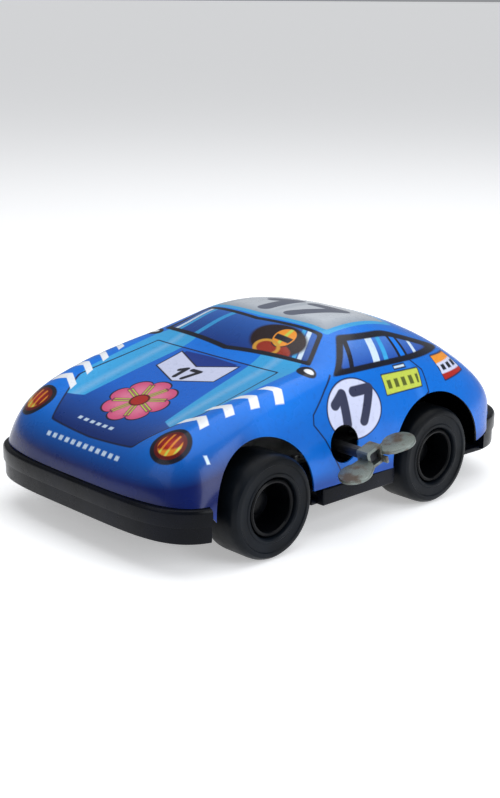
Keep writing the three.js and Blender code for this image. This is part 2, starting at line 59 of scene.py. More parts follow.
# %% [markdown]
# The drawing frame of the car has its origin in the middle of the front axle, with X to the
# car's left, Y towards the tail and Z up, in millimetres. It is easier to think in than the
# model's own frame, so every point below is written in it and moved by one function.

# %% Car frame and shared sizes
ORIGIN = Vector((-5.236, -31.22, 11.5))
MM = 0.001
WHEELBASE = 52.5
AXLES = {"front": (0.0, 0.0), "rear": (WHEELBASE, 0.0)}


def world(p):
    return (Vector(p) + ORIGIN) * MM


# %% [markdown]
# Most pieces here are made from a list of points and a list of faces. One helper turns them
# into an object. Edges that turn by more than about 35 degrees stay crisp, and the rest is
# shaded smooth, which is how moulded and pressed surfaces look.

# %% Mesh helpers
def make_piece(name, points, faces, crisp=35.0):
    bm = bmesh.new()
    corners = [bm.verts.new(world(p)) for p in points]
    for face in faces:
        bm.faces.new([corners[i] for i in face])
    return finish_piece(name, bm, crisp)


def finish_piece(name, bm, crisp=35.0):
    bmesh.ops.remove_doubles(bm, verts=bm.verts, dist=1e-7)
    bmesh.ops.dissolve_degenerate(bm, edges=bm.edges, dist=1e-8)
    bmesh.ops.recalc_face_normals(bm, faces=bm.faces)
    for face in bm.faces:
        face.smooth = True
    for edge in bm.edges:
        edge.smooth = len(edge.link_faces) < 2 or edge.calc_face_angle(0.0) < math.radians(crisp)
    mesh = bpy.data.meshes.new(name)
    bm.to_mesh(mesh)
    bm.free()
    piece = bpy.data.objects.new(name, mesh)
    bpy.context.collection.objects.link(piece)
    return piece


def ring_faces(rings, sides, closed):
    faces = []
    last = rings if closed else rings - 1
    for i in range(last):
        for j in range(sides):
            a, b = i * sides, ((i + 1) % rings) * sides
            k = (j + 1) % sides
            faces.append((a + j, a + k, b + k, b + j))
    return faces


def turned(name, profile, centre, sides=96, side=1):
    """Turns (radius, x) points about a line along X: a ring, or a cap if they start on the line."""
    points = []
    for radius, x in profile:
        for j in range(sides):
            t = 2 * math.pi * j / sides
            points.append((side * x, centre[0] + radius * math.cos(t), centre[1] + radius * math.sin(t)))
    return make_piece(name, points, ring_faces(len(profile), sides, profile[0][0] > 0), 28.0)


def block(name, low, high, bevel=0.3, steps=3):
    """A box with rounded edges."""
    bm = bmesh.new()
    bmesh.ops.create_cube(bm, size=1.0)
    for v in bm.verts:
        v.co = world([low[k] if v.co[k] < 0 else high[k] for k in range(3)])
    bmesh.ops.bevel(bm, geom=bm.edges[:], offset=bevel * MM, segments=steps, profile=0.5, affect="EDGES")
    return finish_piece(name, bm)


def slab(name, outline, low, high, bevel=0.2, steps=3):
    """A flat plate cut to an outline in X and Y, with rounded top and bottom edges."""
    bm = bmesh.new()
    bottom = bm.faces.new([bm.verts.new(world((x, y, low))) for x, y in outline])
    made = bmesh.ops.extrude_face_region(bm, geom=[bottom])
    for v in [g for g in made["geom"] if isinstance(g, bmesh.types.BMVert)]:
        v.co.z = world((0, 0, high)).z
    flat = [e for e in bm.edges if abs(e.verts[0].co.z - e.verts[1].co.z) < 1e-9]
    bmesh.ops.bevel(bm, geom=flat, offset=bevel * MM, segments=steps, profile=0.5, affect="EDGES")
    return finish_piece(name, bm)


def fused(name, pieces):
    """Several closed solids as one object."""
    bm = bmesh.new()
    for piece in pieces:
        bm.from_mesh(piece.data)
        bpy.data.objects.remove(piece)
    mesh = bpy.data.meshes.new(name)
    bm.to_mesh(mesh)
    bm.free()
    whole = bpy.data.objects.new(name, mesh)
    bpy.context.collection.objects.link(whole)
    return whole


def cut(piece, tool):
    """Subtracts a tool solid from a piece and removes the tool."""
    bool_mod = piece.modifiers.new("cut", "BOOLEAN")
    bool_mod.operation = "DIFFERENCE"
    bool_mod.solver = "EXACT"
    bool_mod.object = tool
    graph = bpy.context.evaluated_depsgraph_get()
    result = bpy.data.meshes.new_from_object(piece.evaluated_get(graph))
    piece.modifiers.clear()
    piece.data = result
    bpy.data.objects.remove(tool)
    return piece


# %% [markdown]
# ## Arithmetic on shader sockets
# The printing on the tin is drawn with formulas: each shape is a distance to its outline, in
# millimetres, and a thin ramp across zero turns the distance into ink. A small wrapper lets
# those formulas be written with the usual signs, each of which adds one Math node.

# %% Socket arithmetic
class Num:
    def __init__(self, shader, socket):
        self.shader = shader
        self.socket = socket

    def _do(self, op, *others):
        return self.shader.math(op, self, *others)

    def __add__(self, other):
        return self._do("ADD", other)

    def __radd__(self, other):
        return self.shader.math("ADD", other, self)

    def __sub__(self, other):
        return self._do("SUBTRACT", other)

    def __rsub__(self, other):
        return self.shader.math("SUBTRACT", other, self)

    def __mul__(self, other):
        return self._do("MULTIPLY", other)

    def __rmul__(self, other):
        return self.shader.math("MULTIPLY", other, self)

    def __truediv__(self, other):
        return self._do("DIVIDE", other)

    def __neg__(self):
        return self._do("MULTIPLY", -1.0)

    def __abs__(self):
        return self._do("ABSOLUTE")

    def low(self, other):
        return self._do("MINIMUM", other)

    def high(self, other):
        return self._do("MAXIMUM", other)

    def wrap(self, period):
        return self._do("WRAP", period, 0.0)


class Shader:
    """Builds one material, with a Principled surface at its end."""

    def __init__(self, name):
        self.material = bpy.data.materials.new(name)
        self.material.use_nodes = True
        self.tree = self.material.node_tree
        self.surface = self.tree.nodes["Principled BSDF"]

    def node(self, kind, settings=None, inputs=None):
        made = self.tree.nodes.new(kind)
        for key, value in (settings or {}).items():
            setattr(made, key, value)
        for key, value in (inputs or {}).items():
            self.feed(made.inputs[key], value)
        return made

    def feed(self, socket, value):
        if isinstance(value, Num):
            self.tree.links.new(value.socket, socket)
        else:
            socket.default_value = value

    def math(self, op, *values):
        made = self.node("ShaderNodeMath", {"operation": op}, dict(enumerate(values)))
        return Num(self, made.outputs[0])

    def car_axes(self):
        """X, Y and Z of the shaded point in the car frame, in millimetres."""
        coord = self.node("ShaderNodeTexCoord")
        split = self.node("ShaderNodeSeparateXYZ", inputs={0: Num(self, coord.outputs["Object"])})
        return [Num(self, split.outputs[k]) * 1000.0 - ORIGIN[k] for k in range(3)]

    def noise(self, scale, detail=3.0, stretch=(1.0, 1.0, 1.0), rough=0.5):
        """Cloudy noise; the scale is in waves per metre."""
        coord = self.node("ShaderNodeTexCoord")
        mapped = self.node("ShaderNodeMapping", inputs={0: Num(self, coord.outputs["Object"]), 3: stretch})
        made = self.node("ShaderNodeTexNoise", inputs={
            "Vector": Num(self, mapped.outputs[0]), "Scale": scale, "Detail": detail, "Roughness": rough})
        return Num(self, made.outputs[0])

    def ramp(self, value, low, high, to_low=0.0, to_high=1.0):
        made = self.node("ShaderNodeMapRange", {"clamp": True}, {
            0: value, 1: low, 2: high, 3: to_low, 4: to_high})
        return Num(self, made.outputs[0])

    def ink(self, distance, edge=0.12):
        """1 inside the outline and 0 outside it."""
        return self.ramp(distance, -edge, edge, 1.0, 0.0)

    def mix(self, below, above, factor):
        made = self.node("ShaderNodeMix", {"data_type": "RGBA", "clamp_factor": True}, {
            0: factor, 6: below, 7: above})
        return Num(self, made.outputs[2])

    def bump(self, height, strength, distance):
        made = self.node("ShaderNodeBump", inputs={
            "Strength": strength, "Distance": distance, "Height": height})
        self.feed(self.surface.inputs["Normal"], Num(self, made.outputs[0]))

    def set(self, **values):
        names = {"color": "Base Color", "metal": "Metallic", "rough": "Roughness",
                 "coat": "Coat Weight", "coat_rough": "Coat Roughness", "specular": "Specular IOR Level"}
        for key, value in values.items():
            self.feed(self.surface.inputs[names[key]], value)
        return self.material


def rgb(r, g, b):
    """A display colour, 0 to 255, as the linear colour a shader works in."""
    shown = (r / 255, g / 255, b / 255)
    linear = [c / 12.92 if c <= 0.04045 else ((c + 0.055) / 1.055) ** 2.4 for c in shown]
    return (*linear, 1.0)


# %% [markdown]
# ## Outlines as distances
# A convex shape is the part of the plane on the inner side of each of its edges, so its
# distance is the largest of the edges' distances. A pen stroke is a distance to a line piece.

# %% Drawing helpers
def convex(s, x, y, corners, round_by=0.0):
    """Signed distance to a convex outline whose corners run anticlockwise in (x, y)."""
    result = None
    for (ax, ay), (bx, by) in zip(corners, corners[1:] + corners[:1]):
        length = math.hypot(bx - ax, by - ay)
        nx, ny = (by - ay) / length, -(bx - ax) / length
        edge = x * nx + y * ny - (ax * nx + ay * ny)
        if result is None:
            result = edge
        elif round_by:
            result = s.math("SMOOTH_MAX", result, edge, round_by)
        else:
            result = result.high(edge)
    return result


def stroke(s, x, y, line):
    """Distance to a line drawn through several points."""
    result = None
    for (ax, ay), (bx, by) in zip(line, line[1:]):
        dx, dy = bx - ax, by - ay
        along = ((x - ax) * dx + (y - ay) * dy) / (dx * dx + dy * dy)
        along = along.high(0.0).low(1.0)
        ex = x - ax - along * dx
        ey = y - ay - along * dy
        d = s.math("SQRT", ex * ex + ey * ey)
        result = d if result is None else result.low(d)
    return result


def oval(s, x, y, rx, ry):
    """Roughly signed distance to an ellipse round the origin."""
    q = s.math("SQRT", (x / rx) * (x / rx) + (y / ry) * (y / ry))
    return (q - 1.0) * min(rx, ry)


def race_number(s, x, y):
    """The number seventeen in plain strokes, about 9 wide and 6.4 high."""
    one = stroke(s, x, y, [(-4.2, 1.2), (-2.0, 3.0), (-2.0, -3.2)])
    seven = stroke(s, x, y, [(0.9, 3.0), (5.0, 3.0), (2.2, -3.2)])
    return one.low(seven) - 1.05


# %% [markdown]
# ## The printed tin
# Tinplate is printed flat in a few solid inks, varnished, and only then pressed, so the print
# is a little soft, follows the curves of the body, and lies under one gloss coat. The inks
# below are laid down in the order a printer would: ground blue first, then the panels, then
# the dark key lines and the small stickers. Two marks among them are painted light, not ink:
# a painted highlight along the hood stripes and a painted shade where the hood has a recess.

# %% Ink colours
NAVY = rgb(12, 22, 58)
INK = rgb(14, 18, 34)
BLUE = rgb(6, 122, 232)
DEEP = rgb(4, 48, 136)
NOSE = rgb(0, 20, 84)
MID = rgb(10, 100, 206)
SKY = rgb(56, 164, 224)
PALE = rgb(206, 226, 244)
PANEL = rgb(158, 168, 180)
LILAC = rgb(206, 212, 240)
YELLOW = rgb(190, 204, 80)
ORANGE = rgb(236, 148, 40)
RED = rgb(172, 34, 26)
DARK_RED = rgb(92, 14, 12)
PINK = rgb(210, 84, 128)
WHITE = rgb(238, 242, 248)


def print_ground(s, X, Y, Z):
    """Ground blue, darker low down at both ends, with a faint cloudiness."""
    nose = s.ramp(Z - Y * 0.25, 12.0, 21.0, 1.0, 0.0)
    color = s.mix(BLUE, NOSE, nose * s.ramp(Y, -4.0, 2.0, 1.0, 0.25))
    tail = s.ramp(Y - Z * 0.5, 62.0, 78.0)
    color = s.mix(color, DEEP, tail * 0.8)
    return s.mix(color, DEEP, s.ramp(s.noise(60.0, 4.0), 0.45, 0.75, 0.0, 0.25))


def print_hood(s, color, X, Y, Z, A):
    top = s.ink(14.0 - Z + s.ramp(Y, -20.0, -8.0, -4.0, 0.0))
    corners = [(-2.0, -20.2), (14.3, -19.6), (21.8, -6.5), (20.6, 16.4), (-2.0, 16.0)]
    outline = convex(s, A, Y, corners, 0.9)
    color = s.mix(color, MID, s.ink(outline))
    color = s.mix(color, NOSE, s.ink(outline) * s.ramp(Y, -19.0, -3.0, 0.9, 0.0))
    corners = [(14.2, -10.6), (18.2, -12.6), (22.6, -4.0), (24.0, 19.0), (22.0, 23.0), (11.0, 22.0)]
    stripe = convex(s, A, Y, corners, 0.4)
    color = s.mix(color, SKY, s.ink(stripe))
    # Painted highlight: a faint pale band along the middle of each sky-blue hood stripe.
    color = s.mix(color, PALE, s.ink(abs(A - 16.4) - 0.9, 0.9) * s.ink(stripe) * 0.2)
    color = s.mix(color, NAVY, s.ink(abs(outline) - 0.2) * top)
    # Painted shade: a deep blue patch where the hood has a pressed recess, which the pressed sheet itself
    # does not have.
    color = s.mix(color, DEEP, s.ink(convex(s, A, Y, [(-2, 9.4), (9.4, 9.4), (8.8, 15.2), (-2, 15.6)])))
    return color


def print_flower(s, color, X, Y):
    dx, dy = X, (Y + 6.1) * 1.06
    r = s.math("SQRT", dx * dx + dy * dy)
    turn = s.math("ARCTAN2", dy, dx)
    petals = s.math("POWER", abs(s.math("COSINE", turn * 4.0)), 0.45)
    edge = r - 8.6 * (petals * 0.24 + 0.76)
    color = s.mix(color, INK, s.ink(edge - 0.45))
    color = s.mix(color, PINK, s.ink(edge))
    color = s.mix(color, rgb(236, 150, 176), s.ink(edge + 2.2, 1.6) * 0.5)
    fold = s.math("WRAP", turn + math.pi / 8, math.pi / 8, -math.pi / 8)
    rib = abs(abs(r * s.math("SINE", fold)) - 0.42)
    lines = s.ink(rib - 0.17) * s.ink(r - 6.6)
    color = s.mix(color, INK, s.ink(rib - 0.36) * s.ink(r - 7.0) * 0.75)
    color = s.mix(color, YELLOW, lines)
    color = s.mix(color, DARK_RED, s.ink(r - 2.5))
    return s.mix(color, RED, s.ink(r - 2.0))


def print_badge(s, color, X, Y):
    """A winged shield with a small race number."""
    a = abs(X)
    shape = (a - 9.7).high(Y - (a * 0.42 + 10.4)).high(a * 0.38 + 3.4 - Y)
    color = s.mix(color, INK, s.ink(shape - 0.4))
    color = s.mix(color, LILAC, s.ink(shape))
    digits = race_number(s, X / 0.62, (Y - 7.1) / 0.62)
    return s.mix(color, INK, s.ink(digits, 0.2))


def print_windscreen(s, color, X, Y, Z, A):
    corners = [(-2.0, 18.6), (25.0, 21.9), (19.4, 31.9), (-2.0, 29.9)]
    glass = convex(s, A, Y, corners, 1.2)
    side = (A - 25.0) * 0.872 + (Y - 21.9) * 0.489
    color = s.mix(color, INK, s.ink(glass))
    pane = s.mix(rgb(14, 52, 128), rgb(40, 98, 184), s.ramp(Y, 20.0, 30.0))
    pane = s.mix(pane, PALE, s.ink(abs(side + 3.2) - 0.55))
    pane = s.mix(pane, SKY, s.ink(abs(side + 4.6) - 0.5))
    pane = s.mix(pane, SKY, s.ink(abs(side + 11.0) - 0.8) * s.ink(X) * 0.8)
    pane = print_driver(s, pane, X, Y)
    return s.mix(color, pane, s.ink(glass + 1.15))


def print_driver(s, pane, X, Y):
    """A plain closed helmet behind a steering wheel, with no face."""
    cockpit = oval(s, X - 11.6, Y - 25.2, 8.2, 4.6)
    pane = s.mix(pane, rgb(34, 16, 20), s.ink(cockpit, 0.3))
    suit = oval(s, X - 12.6, Y - 22.2, 5.4, 2.3)
    pane = s.mix(pane, rgb(150, 44, 24), s.ink(suit))
    helmet = oval(s, X - 12.6, Y - 26.2, 2.9, 2.7)
    pane = s.mix(pane, INK, s.ink(helmet - 0.3))
    pane = s.mix(pane, ORANGE, s.ink(helmet))
    pane = s.mix(pane, YELLOW, s.ink(abs(X - 12.6) - 0.5) * s.ink(helmet))
    pane = s.mix(pane, INK, s.ink((abs(Y - 25.8) - 0.75).high(helmet + 0.35)))
    wheel = abs(oval(s, X - 10.6, Y - 22.4, 3.4, 1.9)) - 0.3
    return s.mix(pane, rgb(206, 150, 52), s.ink(wheel))


def print_roof(s, color, X, Y, A):
    panel = convex(s, A, Y, [(-2, 32.2), (18.6, 33.6), (18.0, 54.0), (-2, 55.5)], 1.5)
    color = s.mix(color, SKY, s.ink(panel - 1.5))
    color = s.mix(color, PANEL, s.ink(panel))
    color = s.mix(color, WHITE, s.ink(panel + 2.0, 2.0) * 0.45)
    digits = race_number(s, X / 2.1, (Y - 42.0) / 1.75)
    color = s.mix(color, rgb(92, 98, 116), s.ink(digits, 0.08))
    rear = convex(s, A, Y, [(-2, 59.5), (16.4, 59.0), (14.8, 68.0), (-2, 69.0)], 1.2)
    color = s.mix(color, INK, s.ink(rear))
    pane = s.mix(rgb(30, 76, 160), SKY, s.ink(abs(X - Y * 0.8 + 52.0) - 1.3) * 0.7)
    color = s.mix(color, pane, s.ink(rear + 1.1))
    lid = convex(s, A, Y, [(-2, 71.0), (17.5, 70.5), (15.0, 80.5), (-2, 81.5)], 1.0)
    color = s.mix(color, MID, s.ink(lid))
    slats = s.ink(abs((Y - 72.0).wrap(1.6) - 0.8) - 0.28) * s.ink(lid + 1.2) * s.ink(A - 11.0)
    color = s.mix(color, NAVY, slats)
    return s.mix(color, NAVY, s.ink(abs(lid) - 0.3))


def print_chevrons(s, color, Y, A):
    """Four white arrowheads along the top of the wing."""
    across = (A - 25.1 - Y * 0.245) * 0.97
    span = abs(across) - (3.1 - Y * 0.05)
    local = (Y + 12.0).wrap(5.9) - 2.95
    head = abs(local + abs(across) * 0.55 - 0.9) - 1.05
    limits = abs(Y + 0.2) - 11.7
    return s.mix(color, WHITE, s.ink(head.high(span).high(limits)))


def print_doors(s, color, X, Y, Z, A, side):
    front = [(24.0, 23.0), (20.7, 20.6), (15.7, 16.2), (15.3, 14.2), (18.0, 10.5), (22.0, 3.0), (22.0, 0.0)]
    rear = [(49.2, 22.8), (51.7, 20.1), (51.1, 15.4), (46.1, 12.8), (43.3, 9.6), (41.5, 4.0)]
    color = s.mix(color, rgb(70, 140, 230), s.ink(abs(Y - 49.0 + (Z - 12.0) * 0.1) - 1.1, 0.8) * 0.35)
    lines = stroke(s, Y, Z, front).low(stroke(s, Y, Z, rear)) - 0.17
    color = s.mix(color, NAVY, s.ink(lines))
    sill = s.ink(Z - 2.4, 1.4)
    color = s.mix(color, DEEP, sill * 0.7)
    roundel = oval(s, Y - 27.8, Z - 15.4, 7.9, 6.3)
    color = s.mix(color, NAVY, s.ink(roundel - 0.3))
    color = s.mix(color, LILAC, s.ink(roundel))
    h = (Y - 27.9) * side
    digits = race_number(s, h / 1.2 + 0.4, (Z - 15.9) / 1.05)
    color = s.mix(color, rgb(52, 56, 82), s.ink(digits))
    plate = convex(s, Y, Z, [(38.5, 16.7), (49.6, 17.0), (50.4, 20.6), (38.6, 20.8)], 0.4)
    color = s.mix(color, NAVY, s.ink(plate - 0.25))
    color = s.mix(color, YELLOW, s.ink(plate))
    bars = s.ink((abs((Y - 39.0).wrap(2.3) - 1.15) - 0.62).high(abs(Z - 18.7) - 0.9).high(plate + 0.5))
    color = s.mix(color, rgb(88, 98, 40), bars)
    handle = convex(s, Y, Z, [(43.2, 21.2), (47.2, 21.2), (47.2, 22.2), (43.2, 22.2)], 0.2)
    color = s.mix(color, NAVY, s.ink(handle))
    return s.mix(color, PALE, s.ink(handle + 0.3))


def print_side_windows(s, color, Y, Z, A):
    outer = convex(s, Y, Z, [(24.6, 22.7), (65.5, 22.2), (55.5, 26.0), (48.0, 28.3), (34.0, 29.0)], 1.0)
    glass_side = s.ink(20.6 - A, 0.3)
    color = s.mix(color, INK, s.ink(outer - 0.1) * glass_side)
    pane = s.mix(rgb(28, 74, 164), rgb(72, 128, 214), s.ramp(Z, 23.0, 28.0))
    slant = Y - (Z - 25.0) * 0.55
    pane = s.mix(pane, PALE, s.ink(abs(slant - 40.2) - 1.1))
    pane = s.mix(pane, SKY, s.ink(abs(slant - 43.4) - 0.7))
    pane = s.mix(pane, PALE, s.ink(abs(slant - 54.2) - 0.6))
    quarter = abs(Y - 30.4 - (Z - 22.7) * 0.8) - 0.7
    pillar = abs(Y - 48.2 - (Z - 22.7) * 0.3)
    pane = s.mix(pane, INK, s.ink(quarter))
    pane = s.mix(pane, INK, s.ink(pillar - 1.7))
    pane = s.mix(pane, BLUE, s.ink(pillar - 0.8))
    return s.mix(color, pane, s.ink(outer + 1.0) * glass_side)


def print_rear_sticker(s, color, Y, Z, A):
    """A banded panel of plain blocks on the rear wing."""
    panel = convex(s, Y, Z, [(58.0, 16.9), (67.2, 17.4), (65.2, 21.2), (57.8, 21.7)], 0.5)
    outside = s.ink(24.0 - A, 0.3)
    stripes = s.mix(LILAC, ORANGE, s.ink(20.2 - Z))
    stripes = s.mix(stripes, RED, s.ink(Z - 18.1))
    blocks = (abs((Y - 58.6).wrap(2.6) - 1.3) - 0.8).high(abs(Z - 19.2) - 0.55)
    stripes = s.mix(stripes, INK, s.ink(blocks))
    color = s.mix(color, NAVY, s.ink(panel - 0.25) * outside)
    return s.mix(color, stripes, s.ink(panel) * outside)


def print_lamps(s, color, X, Y, Z, A):
    near = s.math("SQRT", (A - 23.4) * (A - 23.4) + (Y + 16.6) * (Y + 16.6) + (Z - 14.0) * (Z - 14.0))
    lens = s.mix(RED, DARK_RED, s.ramp(near, 0.6, 3.2))
    ribs = s.ink(abs((A - 23.4).wrap(1.7) - 0.85) - 0.27) * s.ink(near - 2.9)
    bar = s.ink(abs(Z - Y * 0.4 - 20.6) - 0.45) * s.ink(near - 2.9)
    lens = s.mix(lens, ORANGE, ribs.high(bar) * 0.75)
    lens = s.mix(lens, YELLOW, ribs * bar)
    color = s.mix(color, INK, s.ink(near - 4.7))
    color = s.mix(color, lens, s.ink(near - 3.7))
    tail = s.math("SQRT", (A - 25.6) * (A - 25.6) + (Y - 78.6) * (Y - 78.6) + (Z - 12.0) * (Z - 12.0))
    color = s.mix(color, INK, s.ink(tail - 3.5))
    return s.mix(color, s.mix(RED, ORANGE, s.ink(tail - 1.2)), s.ink(tail - 2.8))


def print_small_marks(s, color, X, Y, Z, A):
    mirror = oval(s, A - 26.0, Y - 19.8, 2.5, 1.9)
    color = s.mix(color, INK, s.ink(mirror))
    color = s.mix(color, WHITE, s.ink(oval(s, A - 26.4, Y - 20.2, 1.3, 0.8)))
    dash = s.ink(abs(X.wrap(2.2) - 1.1) - 0.62)
    upper = s.ink((abs(Y + 16.6) - 0.42).high(abs(X + 1.8) - 6.4))
    lower = s.ink((abs(Z - 9.9) - 0.42).high(abs(X) - 13.0).high(Y + 12.0))
    color = s.mix(color, PALE, dash * upper.high(lower) * 0.85)
    ticks = s.ink((abs(Z - 12.2) - 0.8).high(abs(Y + 13.4) - 0.35))
    return s.mix(color, PALE, ticks * s.ink(28.0 - A))


def printed_tin():
    s = Shader("printed_tin")
    X, Y, Z = s.car_axes()
    A = abs(X)
    side = s.math("SIGN", X)
    color = print_ground(s, X, Y, Z)
    color = print_hood(s, color, X, Y, Z, A)
    color = print_flower(s, color, X, Y)
    color = print_badge(s, color, X, Y)
    color = print_roof(s, color, X, Y, A)
    color = print_windscreen(s, color, X, Y, Z, A)
    color = print_chevrons(s, color, Y, A)
    flank = s.ink(25.0 - A, 0.3)
    color = s.mix(color, print_doors(s, color, X, Y, Z, A, side), flank)
    color = print_side_windows(s, color, Y, Z, A)
    color = print_rear_sticker(s, color, Y, Z, A)
    color = print_lamps(s, color, X, Y, Z, A)
    color = print_small_marks(s, color, X, Y, Z, A)
    grain = s.noise(900.0, 2.0)
    color = s.mix(color, rgb(20, 40, 90), s.ramp(grain, 0.55, 0.85, 0.0, 0.18))
    waves = s.noise(45.0, 2.0) * 0.7 + s.noise(700.0, 2.0) * 0.06
    s.bump(waves, 0.35, 0.0009)
    rough = s.ramp(s.noise(120.0, 3.0), 0.35, 0.7, 0.24, 0.36)
    return s.set(color=color, metal=0.06, rough=rough, coat=0.2, coat_rough=0.1, specular=0.2)


# %% [markdown]
# ## Plastics and metals
# The base and wheels are glossy black plastic, whose moulded skin has a slight orange-peel
# ripple and picks up dust in its duller patches. The tyres are softer and bluer. The motor's
# steel and brass are rolled strip and turned wire, so they are brushed one way.

# %% Plain materials
def plastic(name, dark, light, rough, ripple=0.25):
    s = Shader(name)
    clouds = s.noise(70.0, 4.0)
    color = s.mix(dark, light, s.ramp(clouds, 0.4, 0.72))
    peel = s.noise(1500.0, 2.0) * 0.2 + s.noise(160.0, 2.0)
    s.bump(peel, ripple, 0.0003)
    dull = s.ramp(s.noise(220.0, 3.0), 0.35, 0.7, rough, rough + 0.14)
    return s.set(color=color, rough=dull, specular=0.12)


def metal(name, light, dark, rough, stretch=(1.0, 18.0, 18.0)):
    s = Shader(name)
    brushed = s.noise(260.0, 3.0, stretch)
    stains = s.ramp(s.noise(180.0, 4.0), 0.5, 0.75)
    color = s.mix(light, dark, stains)
    s.bump(brushed, 0.25, 0.0001)
    return s.set(color=color, metal=1.0, rough=s.ramp(brushed, 0.3, 0.7, rough, rough + 0.2))


def key_metal():
    """Galvanised steel, dull grey and browned where the zinc has worn off."""
    s = Shader("key_steel")
    X, Y, Z = s.car_axes()
    spangle = s.node("ShaderNodeTexVoronoi", inputs={"Scale": 900.0})
    patch = s.ramp(Num(s, spangle.outputs["Distance"]), 0.1, 0.8)
    color = s.mix(rgb(84, 94, 90), rgb(134, 142, 138), patch)
    worn = s.ramp(s.noise(380.0, 5.0), 0.5, 0.66)
    color = s.mix(color, rgb(82, 54, 36), worn * 0.7)
    s.bump(s.noise(500.0, 3.0), 0.3, 0.0001)
    return s.set(color=color, metal=0.8, rough=s.ramp(worn, 0.0, 1.0, 0.36, 0.6))


TIN_INSIDE = metal("tin_inside", rgb(92, 92, 88), rgb(40, 40, 40), 0.5)
LOOKS = {
    "printed_tin": printed_tin(),
    "base_black": plastic("base_black", rgb(3, 5, 10), rgb(8, 12, 24), 0.2),
    "wheel_black": plastic("wheel_black", rgb(3, 4, 6), rgb(8, 10, 14), 0.25),
    "bush_black": plastic("bush_black", rgb(12, 12, 12), rgb(26, 26, 28), 0.5),
    "tyre_black": plastic("tyre_black", rgb(5, 8, 12), rgb(16, 22, 30), 0.32, 0.4),
    "key_steel": key_metal(),
    "spring_steel": metal("spring_steel", rgb(96, 106, 130), rgb(52, 56, 74), 0.25),
    "dark_steel": metal("dark_steel", rgb(70, 72, 76), rgb(36, 36, 38), 0.35),
    "plated_steel": metal("plated_steel", rgb(184, 186, 184), rgb(130, 128, 122), 0.3, (18.0, 1.0, 18.0)),
    "turned_steel": metal("turned_steel", rgb(188, 190, 192), rgb(132, 130, 126), 0.25, (18.0, 1.0, 1.0)),
    "brass": metal("brass", rgb(206, 172, 92), rgb(150, 112, 52), 0.28),
}
print("materials:", ", ".join(sorted(LOOKS)))


def dress(piece, look, body, *nodes):
    """Gives a piece its finish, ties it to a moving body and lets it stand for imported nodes."""
    piece.data.materials.clear()
    piece.data.materials.append(LOOKS[look])
    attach(piece, body)
    if nodes:
        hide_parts(*nodes)
    return piece


# %% [markdown]
# ## The pressed body
# The pressing is one smooth sheet, drawn from a net of control points over half of the car and
# mirrored. A cubic B-spline through the net gives a surface with no creases, like tin drawn
# over a die. The wheel arches and the keyhole are then punched out of it.

